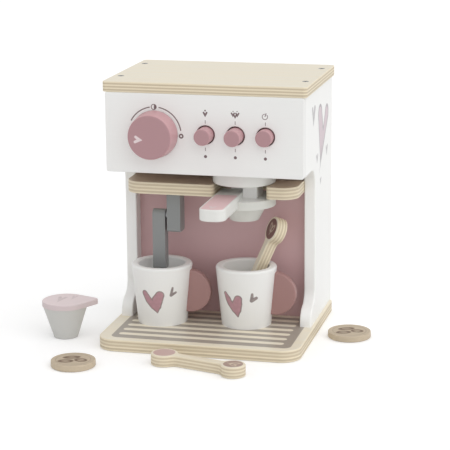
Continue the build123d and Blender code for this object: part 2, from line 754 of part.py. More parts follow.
def cup(side, place):
    """A turned cup with a tapering bore, and the round board that is its handle."""
    x, y = place
    rim = ply + cup_height
    axis = Axis((x, y, 0), (0, 0, 1))
    section = Plane(origin=(x, y, 0), x_dir=(1, 0, 0), z_dir=(0, -1, 0))
    with BuildPart() as body:
        with BuildSketch(section) as outer:
            with BuildLine():
                cup_outline()
            make_face()
            fillet(at_height(outer.vertices(), Axis.X, x + cup_foot_radius), cup_foot_edge)
        revolve(axis=axis)
        with BuildSketch(section):
            with BuildLine():
                Polyline(
                    (0, ply + cup_floor),
                    (cup_bore_floor_radius, ply + cup_floor),
                    (cup_bore_radius, rim),
                    (0, rim),
                    close=True,
                )
            make_face()
        revolve(axis=axis, mode=Mode.SUBTRACT)
        fillet(body.faces().sort_by(Axis.Z)[-1].edges(), cup_lip)
    save(body, f"cup_{side}")
    with BuildPart() as handle:
        middle = (x + cup_handle_reach, y, ply + cup_handle_height)
        with BuildSketch(Plane(origin=middle, x_dir=(1, 0, 0), z_dir=(0, -1, 0))):
            Circle(cup_handle_radius)
        extrude(amount=cup_handle_thickness / 2, both=True)
        fillet(handle.edges(), cup_handle_edge)
        with BuildSketch(section):
            with BuildLine():
                cup_outline()
            make_face()
        revolve(axis=axis, mode=Mode.SUBTRACT)
    save(handle, f"cup_handle_{side}")


for side, place in cup_places.items():
    cup(side, place)


# ---- stirrers -----------------------------------------------------------------------------------
def stirrer(label, plane):
    """A flat stirrer with a round end at each end. Its plane's origin is the small end's middle."""
    with BuildPart() as piece:
        with BuildSketch(plane) as outline:
            Rectangle(stirrer_span, stirrer_shaft, align=(Align.MIN, Align.CENTER))
            Circle(stirrer_small_end)
            with Locations((stirrer_span, 0)):
                Circle(stirrer_big_end)
            fillet(outline.vertices(), stirrer_throat)
        extrude(amount=stirrer_thickness / 2, both=True)
        fillet(piece.faces().filter_by(plane).edges(), stirrer_edge)
    save(piece, label)


turn = math.radians(lying_stirrer_turn)
lying_direction = Vector(math.cos(turn), math.sin(turn), 0)
big_end = Vector(lying_stirrer_x, -base_depth / 2 - lying_stirrer_room, stirrer_thickness / 2)
small_end = big_end + lying_direction * stirrer_span
stirrer("stirrer_lying", Plane(origin=small_end, x_dir=-lying_direction, z_dir=(0, 0, 1)))
standing_axis = Vector(standing_stirrer_axis).normalized()
standing_foot = Vector(
    cup_places["right"][0] + standing_stirrer_offset[0],
    cup_places["right"][1] + standing_stirrer_offset[1],
    ply + cup_floor + standing_stirrer_lift,
)
standing_end = standing_foot + standing_axis * stirrer_small_end
stirrer("stirrer_in_cup", Plane(origin=standing_end, x_dir=standing_axis, z_dir=standing_stirrer_face))

# ---- creamer ------------------------------------------------------------------------------------
creamer_x = -board_width / 2 - creamer_room

with BuildPart() as creamer_cup:
    cup_plane = Plane(origin=(creamer_x, creamer_y, 0), x_dir=(1, 0, 0), z_dir=(0, -1, 0))
    with BuildSketch(cup_plane) as creamer_half:
        with BuildLine():
            Polyline(
                (0, 0),
                (creamer_foot_radius, 0),
                (creamer_rim_radius, creamer_height),
                (0, creamer_height),
                close=True,
            )
        make_face()
        fillet(at_height(creamer_half.vertices(), Axis.X, creamer_x + creamer_foot_radius), creamer_edge)
    revolve(axis=Axis((creamer_x, creamer_y, 0), (0, 0, 1)))
    with Locations((creamer_x, creamer_y, creamer_height)):
        Cylinder(creamer_dowel_radius + fit, creamer_dowel_bite, align=CENTRE_TOP, mode=Mode.SUBTRACT)
save(creamer_cup, "creamer_cup")

with BuildPart() as creamer_lid:
    lid_plane = Plane(origin=(creamer_x, creamer_y, creamer_height)).rotated((0, 0, creamer_tab_turn))
    with BuildSketch(lid_plane):
        Circle(creamer_lid_radius)
        with Locations((creamer_tab_reach, 0)):
            Circle(creamer_tab_radius)
        make_hull()
    extrude(amount=creamer_lid_thickness)
    fillet(creamer_lid.faces().sort_by(Axis.Z)[-1].edges(), creamer_edge)
    with Locations((creamer_x, creamer_y, creamer_height)):
        Cylinder(creamer_dowel_radius + fit, creamer_dowel_bite, align=CENTRE_BOTTOM, mode=Mode.SUBTRACT)
save(creamer_lid, "creamer_lid")

with BuildPart() as creamer_dowel:
    with Locations((creamer_x, creamer_y, creamer_height)):
        Cylinder(creamer_dowel_radius, 2 * creamer_dowel_bite)
save(creamer_dowel, "creamer_dowel")


# ---- coffee pads --------------------------------------------------------------------------------
def coffee_pad(side, place):
    """A round pad lying flat beside the machine."""
    with BuildPart() as pad:
        with Locations((*place, 0)):
            Cylinder(pad_radius, pad_thickness, align=CENTRE_BOTTOM)
        fillet(pad.edges().filter_by(GeomType.CIRCLE), pad_edge)
    save(pad, f"coffee_pad_{side}")


for side, place in pad_places.items():
    coffee_pad(side, place)
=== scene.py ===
"""Finishes, prints and stage of a wooden toy coffee machine, laid out as an add-on and run as a script."""

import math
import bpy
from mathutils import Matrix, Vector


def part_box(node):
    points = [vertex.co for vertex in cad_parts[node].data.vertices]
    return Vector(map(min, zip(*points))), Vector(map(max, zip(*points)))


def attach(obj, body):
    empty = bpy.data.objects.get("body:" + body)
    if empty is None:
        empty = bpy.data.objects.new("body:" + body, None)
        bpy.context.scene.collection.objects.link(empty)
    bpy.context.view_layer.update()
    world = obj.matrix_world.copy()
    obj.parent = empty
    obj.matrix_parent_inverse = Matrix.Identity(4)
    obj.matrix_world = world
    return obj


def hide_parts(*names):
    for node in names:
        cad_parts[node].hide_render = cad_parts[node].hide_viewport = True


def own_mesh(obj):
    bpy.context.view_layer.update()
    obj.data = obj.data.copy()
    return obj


bl_info = {
    "name": "Wooden Toy Coffee Machine",
    "version": (1, 0, 0),
    "blender": (4, 5, 0),
    "location": "View3D > Sidebar > Toy",
    "description": "Paints and prints a wooden toy coffee machine and sets it on a pale floor",
    "category": "Object",
}

from functools import reduce

import bmesh
import bpy
from bpy.props import FloatProperty, FloatVectorProperty, PointerProperty
from mathutils import Matrix, Vector

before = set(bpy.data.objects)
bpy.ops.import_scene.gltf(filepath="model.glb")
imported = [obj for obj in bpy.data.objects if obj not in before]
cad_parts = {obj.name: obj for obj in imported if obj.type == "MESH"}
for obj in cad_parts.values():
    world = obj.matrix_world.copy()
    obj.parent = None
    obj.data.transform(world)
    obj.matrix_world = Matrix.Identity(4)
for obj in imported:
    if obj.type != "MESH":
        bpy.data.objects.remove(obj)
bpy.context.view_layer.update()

SIDES = ("left", "right")
BUTTONS = ("one_cup", "two_cups", "power")
DOWELS = ("front", "shelf", "hanger", "handle")

MM = 1000.0  # millimetres in a metre; the shaders work in millimetres
UP = (0.0, 0.0, 1.0)
FRONT = (0.0, -1.0, 0.0)
SIDEWAYS = (1.0, 0.0, 0.0)
FACES = 0.9  # cosine of the widest angle at which a surface still counts as facing a direction

# Wood. Distances along the grain count for less, which draws noise out into fibres.
GRAIN_STRETCH = 0.06
PLIES = 7
VENEER_EDGE = 0.8  # cosine of the angle at which a rounded edge starts to show the plies

# The printed arc about the knob, in degrees up from its right, and half of the gap at its top.
ARC_START, ARC_END, ARC_TOP_GAP = 9.0, 152.0, 9.6

# The ring burnt into a coffee pad: its distance from the rim and its width, in millimetres.
RING_INSET, RING_WIDTH = 4.3, 0.9

# The stirrers: radii of the two round ends and the span between their middles, in millimetres.
BIG_END, SMALL_END, STIRRER_SPAN = 11.8, 10.8, 68.6
BIG_PRINT, SMALL_PRINT, STANDING_PRINT = 9.7, 8.6, 9.8  # radii of their printed discs
LYING_TURN = math.radians(-15.3)
# The standing one: its lowest point in metres, the way it leans and the way its print looks.
STANDING_FOOT = (0.02446, -0.00735, 0.0245)
STANDING_AXIS = (0.3855, 0.0999, 0.9173)
STANDING_FACE = (-0.7684, -0.5157, 0.3791)

# The return springs, in metres.
SPRING_TURNS = 6
SPRING_WIRE = 0.00045  # half of the wire's width

# The stage, in metres.
FLOOR_HALF = 15.0
FLOOR_DROP = 0.0002  # so that the floor and the undersides never share a plane
FLOOR_WHITE = (0.86, 0.86, 0.86)
WHITE_LIGHT = (1.0, 1.0, 1.0, 1.0)
SUN_FROM = (0.567, -0.284, 0.773)
SENSOR_WIDTH = 36.0  # millimetres


# ---- sizes and colours that a user would change ----
def colour_property(name, description, red, green, blue):
    """A paint or wood colour, written as the eight-bit values that it shows on a screen."""
    linear = [to_linear(level) for level in (red, green, blue)]
    return FloatVectorProperty(
        name=name, description=description, default=linear, subtype="COLOR", size=3, min=0.0, max=1.0
    )


def length_property(name, description, metres):
    """A length, kept in metres and shown in the user's own unit."""
    return FloatProperty(name=name, description=description, default=metres, unit="LENGTH")


def angle_property(name, description, degrees):
    """An angle, written here in degrees."""
    return FloatProperty(
        name=name, description=description, default=math.radians(degrees), subtype="ANGLE"
    )


def number_property(name, description, default):
    """A plain number that is never negative."""
    return FloatProperty(name=name, description=description, default=default, min=0.0)


def to_linear(level):
    """One eight-bit screen level as a linear light value."""
    share = level / 255.0
    if share <= 0.04045:
        return share / 12.92
    return ((share + 0.055) / 1.055) ** 2.4


class ToyPaints(bpy.types.PropertyGroup):
    """Colours of the paints, the woods and the printing ink."""

    white: colour_property("White", "Paint of the front, the back and the cups", 240, 240, 238)
    # Painted light: the same white made lighter for the side panels, the filter neck and the bowl's top
    # face
    lit_white: colour_property("Side white", "Paint of the side panels and filter neck", 247, 247, 245)
    filter_white: colour_property("Filter white", "Paint of the filter's collar and handle", 229, 229, 225)
    bowl_white: colour_property("Bowl white", "Paint of the filter's bowl", 215, 215, 209)
    pink: colour_property("Pink", "Paint of the knob and the buttons", 177, 138, 142)
    back_pink: colour_property("Back pink", "Paint of the board behind the cups", 210, 174, 176)
    handle_pink: colour_property("Handle pink", "Paint of the cup handles", 164, 126, 123)
    print_pink: colour_property("Print pink", "Large hearts printed on the cups", 184, 142, 150)
    inset_pink: colour_property("Inset pink", "Printed inset of the filter's handle", 227, 194, 196)
    disc_pink: colour_property("Disc pink", "Disc on the lying stirrer's larger end", 198, 167, 160)
    disc_brown: colour_property("Disc brown", "Disc on the lying stirrer's smaller end", 168, 142, 131)
    pale_pink: colour_property("Pale pink", "Creamer's lid and the pale hearts", 226, 210, 211)
    light_grey: colour_property("Light grey", "Paint of the creamer", 205, 204, 200)
    grey: colour_property("Grey", "Paint of the steam wand and its hanger", 140, 142, 142)
    ink: colour_property("Ink", "Printed signs and the darker brush strokes", 113, 92, 94)
    ink_grey: colour_property("Grey ink", "Printed grille and the lighter brush strokes", 153, 144, 134)
    ink_side: colour_property("Side ink", "Printed large heart on the side panels", 214, 198, 204)
    ink_edge: colour_property("Edge ink", "Its outline and the small hearts beside it", 178, 173, 176)
    ink_brown: colour_property("Brown ink", "Disc on the standing stirrer", 120, 88, 82)
    burnt_brown: colour_property("Burnt brown", "Beans and ring burnt into the coffee pads", 112, 88, 68)
    veneer: colour_property("Veneer", "Face of the birch plywood", 236, 230, 214)
    ply_light: colour_property("Light ply", "Plies cut along the grain, seen at an edge", 230, 218, 192)
    ply_dark: colour_property("Dark ply", "Plies cut across the grain, seen at an edge", 206, 190, 163)
    beech: colour_property("Beech", "Solid wood of the pads and the inner pieces", 199, 183, 159)
    steel: colour_property("Steel", "Zinc plated screws, washers and springs", 150, 150, 152)


class ToyPrints(bpy.types.PropertyGroup):
    """Sizes of the printed signs, in metres."""

    line: length_property("Line", "Width of a printed line", 0.0010)
    arc_gap: length_property("Arc gap", "From the knob's rim to its printed arc", 0.0030)
    sign_height: length_property("Sign height", "From a button's middle up to its sign", 0.0194)
    dot_drop: length_property("Dot drop", "From a button's middle down to its dot", 0.0193)
    stripe_pitch: length_property("Stripe pitch", "From one slot of the printed grille to the next", 0.0137)
    stripe_width: length_property("Stripe width", "Width of one printed slot", 0.0066)


class ToyStage(bpy.types.PropertyGroup):
    """Camera and light."""

    camera_place: FloatVectorProperty(
        name="Camera place", description="Where the camera stands", default=(0.3789, -1.4992, 0.4785),
        subtype="TRANSLATION", size=3,
    )
    camera_yaw: angle_property("Yaw", "Turn of the camera to the left", 13.927)
    camera_pitch: angle_property("Pitch", "Tilt of the camera upwards", -13.766)
    camera_roll: angle_property("Roll", "Roll of the camera", -0.464)
    camera_lens: number_property("Lens", "Focal length in millimetres", 138.9)
    sun_strength: number_property("Sun", "Strength of the soft sun", 1.0)
    sun_size: angle_property("Sun size", "Width of the sun in the sky; wide is soft", 85.0)
    room_light: number_property("Room light", "Strength of the even room light", 0.755)
    floor_glow: number_property("Floor glow", "What the floor adds where the camera sees it", 0.21)


# ---- shader expressions ----
class Value:
    """A number that varies over a surface. Arithmetic on it adds Math nodes to its finish."""

    def __init__(self, finish, socket):
        self.finish = finish
        self.socket = socket

    def math(self, operation, *others, clamp=False):
        inputs = dict(enumerate((self, *others)))
        return self.finish.node("ShaderNodeMath", {"operation": operation, "use_clamp": clamp}, inputs)

    def __add__(self, other):
        return self.math("ADD", other)

    __radd__ = __add__

    def __sub__(self, other):
        return self.math("SUBTRACT", other)

    def __rsub__(self, other):
        return self.finish.node("ShaderNodeMath", {"operation": "SUBTRACT"}, {0: other, 1: self})

    def __mul__(self, other):
        return self.math("MULTIPLY", other)

    __rmul__ = __mul__

    def __truediv__(self, other):
        return self.math("DIVIDE", other)

    def __neg__(self):
        return self.math("MULTIPLY", -1.0)

    def __abs__(self):
        return self.math("ABSOLUTE")

    def __gt__(self, other):
        return self.math("GREATER_THAN", other)

    def __lt__(self, other):
        return self.math("LESS_THAN", other)

    def floor(self):
        return self.math("FLOOR")

    def root(self):
        return self.math("SQRT")

    def wrap(self, low, high):
        """Repeats from low to high, like a saw."""
        return self.math("WRAP", high, low)

    def most(self, other):
        return self.math("MAXIMUM", other)

    def least(self, other):
        return self.math("MINIMUM", other)

    def clamped(self):
        return self.math("ADD", 0.0, clamp=True)

    def step(self, low, high):
        """0 below low and 1 above high, with a smooth rise; the other way round where low is larger."""
        inputs = {"Value": self, "From Min": low, "From Max": high, "To Min": 0.0, "To Max": 1.0}
        return self.finish.node("ShaderNodeMapRange", {"interpolation_type": "SMOOTHSTEP"}, inputs)

    def inside(self, softness):
        """This value as a distance in millimetres: 1 where it is negative, 0 where it is positive."""
        return self.step(softness, -softness)


class Finish:
    """A material under construction: its nodes, its surface shader and the coordinates of the piece."""

    def __init__(self, name, roughness):
        self.material = bpy.data.materials.new(name)
        self.material.use_nodes = True
        self.tree = self.material.node_tree
        self.tree.nodes.clear()
        self.surface = self.tree.nodes.new("ShaderNodeBsdfPrincipled")
        output = self.tree.nodes.new("ShaderNodeOutputMaterial")
        self.tree.links.new(self.surface.outputs["BSDF"], output.inputs["Surface"])
        self.surface.inputs["Roughness"].default_value = roughness
        place = self.tree.nodes.new("ShaderNodeTexCoord")
        self.place = place.outputs["Object"]
        self.facing = place.outputs["Normal"]

    def node(self, kind, settings, inputs, output=0):
        """Adds one node, sets it up and returns the output asked for."""
        made = self.tree.nodes.new(kind)
        for name, setting in settings.items():
            setattr(made, name, setting)
        for name, value in inputs.items():
            self.feed(made.inputs[name], value)
        return Value(self, made.outputs[output])

    def feed(self, socket, value):
        """Links a value to a socket, or writes a constant into it."""
        if isinstance(value, Value):
            self.tree.links.new(value.socket, socket)
        elif isinstance(value, bpy.types.NodeSocket):
            self.tree.links.new(value, socket)
        elif socket.type == "RGBA" and len(value) == 3:
            socket.default_value = (*value, 1.0)
        else:
            socket.default_value = value

    def axes(self):
        """The three distances of the piece's own place, in millimetres."""
        parts = self.tree.nodes.new("ShaderNodeSeparateXYZ")
        self.feed(parts.inputs[0], self.place)
        return [Value(self, part) * MM for part in parts.outputs]

    def vector(self, x, y, z):
        return self.node("ShaderNodeCombineXYZ", {}, {0: x, 1: y, 2: z})

    def vector_math(self, operation, first, second, output="Vector"):
        return self.node("ShaderNodeVectorMath", {"operation": operation}, {0: first, 1: second}, output)

    def dot(self, first, second):
        return self.vector_math("DOT_PRODUCT", first, tuple(second), "Value")

    def along(self, direction, origin):
        """Distance in millimetres along a direction, from an origin in metres."""
        from_origin = self.vector_math("SUBTRACT", self.place, tuple(origin))
        return self.dot(from_origin, Vector(direction).normalized()) * MM

    def turned_to(self, direction):
        """How far the surface faces a direction, from -1 to 1."""
        return self.dot(self.facing, Vector(direction).normalized())

    def faces(self, direction, least=FACES):
        """1 where the surface faces a direction, 0 elsewhere."""
        return self.turned_to(direction) > least

    def noise(self, x, y, z, scale=1.0, detail=2.0, seed=0.0):
        """Cloudy noise from 0 to 1 over three distances."""
        inputs = {"Vector": self.vector(x, y, z), "W": seed, "Scale": scale, "Detail": detail}
        return self.node("ShaderNodeTexNoise", {"noise_dimensions": "4D"}, inputs)

    def speckle(self, value):
        """A steady random number from 0 to 1 for each whole value."""
        return self.node("ShaderNodeTexWhiteNoise", {"noise_dimensions": "1D"}, {"W": value})

    def mix(self, share, first, second, blend="MIX"):
        """Colour that runs from first to second."""
        settings = {"data_type": "RGBA", "blend_type": blend}
        return self.node("ShaderNodeMix", settings, {0: share, 6: first, 7: second}, 2)

    def tint(self, colour, value):
        """A colour multiplied by a value or by another colour."""
        return self.mix(1.0, colour, value, "MULTIPLY")

    def colour(self, value):
        self.feed(self.surface.inputs["Base Color"], value)

    def roughness(self, value):
        self.feed(self.surface.inputs["Roughness"], value)

    def relief(self, height, depth):
        """Bumps of a height from 0 to 1, depth millimetres deep."""
        inputs = {"Height": height, "Strength": 1.0, "Distance": depth / MM}
        self.feed(self.surface.inputs["Normal"], self.node("ShaderNodeBump", {}, inputs, "Normal"))


# ---- shapes of the prints, as distances in millimetres ----
def union(*shapes):
    """Shapes joined into one."""
    return reduce(Value.least, shapes)


def turned(u, v, degrees):
    """Coordinates turned by an angle."""
    turn = math.radians(degrees)
    return u * math.cos(turn) + v * math.sin(turn), v * math.cos(turn) - u * math.sin(turn)


def disc(u, v, radius):
    return (u * u + v * v).root() - radius


def ring(u, v, radius, width):
    return abs(disc(u, v, radius)) - width / 2


def bar(u, v, half_width, half_height):
    return (abs(u) - half_width).most(abs(v) - half_height)


def slot(u, v, half_length, half_width):
    """A bar along u with round ends."""
    past_end = (abs(u) - (half_length - half_width)).most(0.0)
    return (past_end * past_end + v * v).root() - half_width


def rounded_bar(u, v, half_width, half_height, corner):
    past_u = (abs(u) - (half_width - corner)).most(0.0)
    past_v = (abs(v) - (half_height - corner)).most(0.0)
    return (past_u * past_u + past_v * past_v).root() - corner


def oval(u, v, half_width, half_height):
    """Nearly the distance to an ellipse."""
    return disc(u / half_width, v / half_height, 1.0) * min(half_width, half_height)


def stroke(finish, point, start, end, start_radius, end_radius):
    """A stroke with round ends whose width changes from start to end."""
    start, end = Vector((*start, 0.0)), Vector((*end, 0.0))
    run = end - start
    from_start = finish.vector_math("SUBTRACT", point, tuple(start))
    share = finish.dot(from_start, run / run.length_squared).clamped()
    nearest = finish.node("ShaderNodeVectorMath", {"operation": "SCALE"}, {0: tuple(run), "Scale": share})
    gap = finish.vector_math("DISTANCE", from_start, nearest, "Value")
    return gap - (share * (end_radius - start_radius) + start_radius)


def triangle(finish, point, *tips):
    """A triangle through three points."""
    tips = [Vector((*tip, 0.0)) for tip in tips]
    past_sides = []
    for number in range(3):
        start, end, other = tips[number], tips[number - 1], tips[number - 2]
        normal = Vector((end.y - start.y, start.x - end.x, 0.0)).normalized()
        if normal.dot(other - start) > 0.0:
            normal = -normal
        past_sides.append(finish.dot(point, normal) - normal.dot(start))
    return reduce(Value.most, past_sides)


def heart(finish, point, tip, left, right, notch, radii, tip_radius=0.5):
    """A heart from its tip, the middles of its two lobes and the notch between them."""
    notch_radius = 0.1
    shapes = [triangle(finish, point, tip, notch, lobe) for lobe in (left, right)]
    for lobe, radius in zip((left, right), radii):
        shapes.append(stroke(finish, point, tip, lobe, tip_radius, radius))
        shapes.append(stroke(finish, point, notch, lobe, notch_radius, radius))
    return union(*shapes)


def chain(finish, point, discs):
    """Discs (x, y, radius) joined one to the next by strokes."""
    return union(*(
        stroke(finish, point, (x, y), (next_x, next_y), radius, next_radius)
        for (x, y, radius), (next_x, next_y, next_radius) in zip(discs, discs[1:])
    ))


def plain_heart(finish, point, centre, half_width, height, lean=0.0):
    """A heart of equal lobes; lean moves its tip aside."""
    x, y = centre
    radius = half_width * 0.36
    reach, rise = half_width - radius, height / 2 - radius
    tip, notch = (x + lean, y - height / 2), (x, y + height * 0.12)
    left, right = (x - reach, y + rise), (x + reach, y + rise)
    return heart(finish, point, tip, left, right, notch, (radius, radius), half_width * 0.06)


# ---- finishes ----
def paints():
    return bpy.context.scene.toy_paints


def prints():
    return bpy.context.scene.toy_prints


def along_grain(grain, *place):
    """A place whose distance along the grain counts for less."""
    return [value * GRAIN_STRETCH if axis == grain else value for axis, value in zip("XYZ", place)]


def painted(name, colour, grain, seed, roughness=0.42, build=None):
    """Satin paint on wood, whose grain just shows. build may print on the paint before it is set."""
    finish = Finish(name, roughness)
    x, y, z = finish.axes()
    fibre = finish.noise(*along_grain(grain, x, y, z), scale=0.9, detail=3.0, seed=seed)
    cloud = finish.noise(x, y, z, scale=0.02, seed=seed + 3.0)
    peel = finish.noise(x, y, z, scale=1.3, detail=1.0, seed=seed + 7.0)
    shade = 1.0 + (cloud - 0.5) * 0.05 + (fibre - 0.5) * 0.025
    shown = finish.tint(colour, shade)
    if build is not None:
        shown = build(finish, shown, x, y, z)
    finish.colour(shown)
    finish.roughness(roughness + (cloud - 0.5) * 0.12 + (peel - 0.5) * 0.06)
    finish.relief(fibre * 0.7 + peel * 0.3, 0.05)
    return finish.material


def painted_side_light(finish, base, share):
    """Painted light: paint made lighter around a turned piece's sides than on its front, where more light
    falls.
    """
    front = abs(finish.turned_to(FRONT)).step(0.55, 0.9)
    return finish.tint(base, 1.0 + (1.0 - front) * share)


def veneer_colour(finish, along, across, through, seed):
    """Birch veneer: long pale streaks with a few darker ones."""
    broad = finish.noise(along * 0.012, across * 0.11, through * 0.11, detail=3.0, seed=seed)
    fine = finish.noise(along * 0.05, across * 1.6, through * 1.6, seed=seed + 5.0)
    fleck = finish.noise(along * 0.18, across * 2.6, through * 2.6, detail=0.0, seed=seed + 9.0)
    fleck = fleck.step(0.72, 0.82)
    shade = 1.0 + (broad - 0.5) * 0.16 + (fine - 0.5) * 0.10 - fleck * 0.06
    warm = finish.mix((broad * 1.6 - 0.3).clamped(), paints().veneer, paints().ply_light)
    return finish.tint(warm, shade), fine


def plywood(name, stack, grain, origin, thickness, seed, build=None):
    """Varnished birch plywood. stack is the way through the plies, grain the way along the face.

    origin is in metres and thickness in millimetres. build may print on the wood before it is set.
    """
    finish = Finish(name, 0.38)
    stack = Vector(stack).normalized()
    grain = Vector(grain).normalized()
    across = stack.cross(grain)
    t = finish.along(stack, origin)
    u = finish.along(grain, origin)
    v = finish.along(across, origin)
    face_colour, fine = veneer_colour(finish, u, v, t, seed)
    wave = (finish.noise(u * 0.02, v * 0.02, 0.0, detail=1.0, seed=seed + 2.0) - 0.5) * 0.5
    layer = (t + wave) / (thickness / PLIES)
    number = layer.floor()
    crosswise = number.wrap(0.0, 2.0) > 0.5
    tone = finish.speckle(number + seed)
    pores = finish.noise(u * 1.3, v * 1.3, t * 2.6, seed=seed + 4.0)
    streak = finish.noise(u * 0.10, v * 0.10, t * 3.0, seed=seed + 6.0)
    edge = finish.mix(crosswise, paints().ply_light, paints().ply_dark)
    edge_shade = 1.0 + (tone - 0.5) * 0.12 + (pores - 0.5) * 0.16 * crosswise + (streak - 0.5) * 0.10
    glue = abs((layer - number) - 0.5).step(0.44, 0.5)
    edge = finish.tint(edge, edge_shade * (1.0 - glue * 0.18))
    facing = abs(finish.turned_to(stack)).step(VENEER_EDGE - 0.12, VENEER_EDGE + 0.1)
    colour = finish.mix(facing, edge, face_colour)
    if build is not None:
        colour = build(finish, colour, facing)
    finish.colour(colour)
    finish.roughness(0.36 + (fine - 0.5) * 0.14 + (1.0 - facing) * 0.12)
    finish.relief(fine * facing + (pores * 0.7 - glue * 0.3) * (1.0 - facing), 0.06)
    return finish.material


def beech(name, grain, seed, build=None):
    """Sanded solid wood with short dark rays."""
    finish = Finish(name, 0.55)
    x, y, z = finish.axes()
    stretched = along_grain(grain, x, y, z)
    broad = finish.noise(*stretched, scale=0.35, detail=3.0, seed=seed)
    fine = finish.noise(*stretched, scale=2.6, seed=seed + 5.0)
    ray = fine.step(0.62, 0.74)
    shade = 1.0 + (broad - 0.5) * 0.26 + (fine - 0.5) * 0.10 - ray * 0.12
    colour = finish.tint(paints().beech, shade)
    if build is not None:
        colour = build(finish, colour, x, y, z)
    finish.colour(colour)
    finish.roughness(0.52 + (fine - 0.5) * 0.2)
    finish.relief(fine, 0.05)
    return finish.material


def zinc(name, seed):
    """Zinc plated steel with turning marks."""
    finish = Finish(name, 0.35)
    x, y, z = finish.axes()
    cloud = finish.noise(x, y, z, scale=0.8, detail=3.0, seed=seed)
    scratch = finish.noise(x * 6.0, y * 0.6, z * 6.0, seed=seed + 2.0)
    finish.surface.inputs["Metallic"].default_value = 1.0
    finish.colour(finish.tint(paints().steel, 1.0 + (cloud - 0.5) * 0.3))
    finish.roughness(0.34 + (cloud - 0.5) * 0.2 + (scratch - 0.5) * 0.2)
    finish.relief(scratch, 0.01)
    return finish.material


def dress(material, *nodes):
    """Gives CAD nodes their material."""
    for node in nodes:
        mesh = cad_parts[node].data
        mesh.materials.clear()
        mesh.materials.append(material)


def middle(node):
    """The middle of a CAD node's box, in millimetres."""
    low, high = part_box(node)
    return (low + high) * (MM / 2)


def corners(node):
    """The two corners of a CAD node's box, in millimetres."""
    low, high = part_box(node)
    return low * MM, high * MM


# ---- prints of the front panel ----
def dial_signs(finish, x, z):
    """The arc about the knob with its half-filled disc at the top and its ring on the right."""
    line = prints().line * MM
    knob = middle("knob")
    low, high = corners("knob")
    radius = (high.x - low.x) / 2 + prints().arc_gap * MM
    u, v = x - knob.x, z - knob.z
    angle = v.math("ARCTAN2", u)
    arc = ring(u, v, radius, line)
    arc = arc.most((math.radians(ARC_START) - angle) * radius)
    arc = arc.most((angle - math.radians(ARC_END)) * radius)
    arc = arc.most((math.radians(ARC_TOP_GAP) - abs(angle - math.pi / 2)) * radius)
    half_radius, ring_radius = 2.3, 1.55
    half_u, half_v = u + 0.4, v - radius
    right_half = disc(half_u, half_v, half_radius + 0.1).most(0.2 - half_u)
    half_disc = ring(half_u, half_v, half_radius, line * 0.7).least(right_half)
    dial_ring = ring(u - radius, v + 1.0, ring_radius, line * 1.3)
    return union(arc, half_disc, dial_ring)


def button_signs(finish, x, z):
    """Hearts for one and for two cups, the power sign, and ticks and a dot at each button."""
    line = prints().line * MM
    first, last = middle("button_" + BUTTONS[0]), middle("button_" + BUTTONS[-1])
    pitch = (last.x - first.x) / (len(BUTTONS) - 1)
    in_row = bar(x - (first.x + last.x) / 2, z - first.z, 1.5 * pitch, 40.0)
    column = (x - first.x).wrap(-pitch / 2, pitch / 2)
    height = z - first.z
    dot_radius, tick_reach, tick_half = 1.4, 12.2, 1.5
    dot = disc(column, height + prints().dot_drop * MM, dot_radius)
    ticks = bar(column, abs(height + 0.6) - tick_reach, line * 0.27, tick_half)
    signs = dot.least(ticks).most(in_row)

    sign_z = first.z + prints().sign_height * MM
    one_u, one_v = x - first.x, z - (sign_z - 1.0)
    one = plain_heart(finish, finish.vector(one_u, one_v, 0.0), (0.0, 0.0), 2.2, 4.6)
    one = one.least(disc(one_u, one_v - 3.3, 0.75))
    two_u, two_v = x - (first.x + pitch), z - (sign_z - 0.5)
    pair = finish.vector(abs(two_u) - 2.0, two_v, 0.0)
    below = finish.vector(two_u, two_v + 1.4, 0.0)
    two = union(*(plain_heart(finish, place, (0.0, 0.0), 1.9, 3.9) for place in (pair, below)))
    two = two.least(disc(abs(two_u) - 1.8, two_v - 2.9, 0.5))
    power_u, power_v = turned(x - (last.x - 0.4), z - (sign_z - 1.4), -20.0)
    power_radius, gap_half, stem_half = 2.35, 0.9, 1.6
    power = ring(power_u, power_v, power_radius, line * 0.6)
    power = power.most(gap_half - (abs(power_u) + (power_v < 0.0) * 10.0))
    power = power.least(bar(power_u, power_v - 1.7, line * 0.4, stem_half))
    return union(signs, one, two, power)


def control_signs(finish, base, x, y, z):
    """All the signs on the front panel's face."""
    signs = dial_signs(finish, x, z).least(button_signs(finish, x, z))
    return finish.mix(signs.inside(0.18) * finish.faces(FRONT), base, paints().ink)


# ---- prints of the cabinet's sides ----
def side_hearts(finish, base, x, y, z):
    """A large heart and four small ones on a side panel."""
    point = finish.vector(y, z, 0.0)
    tip, notch = (30.5, 156.5), (43.0, 185.0)
    large = heart(finish, point, tip, (27.5, 201.0), (59.5, 197.0), notch, (8.3, 7.3))
    large = large.least(stroke(finish, point, tip, (41.8, 182.0), 0.5, 3.0))
    edges = abs(large) - 1.3
    for centre, half_width, height in (
        ((-3.0, 204.8), 8.0, 18.0),
        ((14.2, 162.7), 4.5, 8.5),
        ((61.0, 162.0), 5.0, 10.0),
        ((31.3, 138.8), 3.4, 6.6),
    ):
        edges = edges.least(plain_heart(finish, point, centre, half_width, height, -0.6))
    brush = finish.noise(y, z, 0.0, scale=0.12, seed=12.0)
    outward = abs(finish.turned_to(SIDEWAYS)) > FACES
    outside = abs(x) > (corners("side_panel_right")[1].x - 1.0)
    printed = outward * outside
    filled = finish.mix(large.inside(0.4) * printed, base, paints().ink_side)
    brushed = edges.inside(0.4) * printed * (0.45 + brush * 0.8).clamped()
    return finish.mix(brushed, filled, paints().ink_edge)


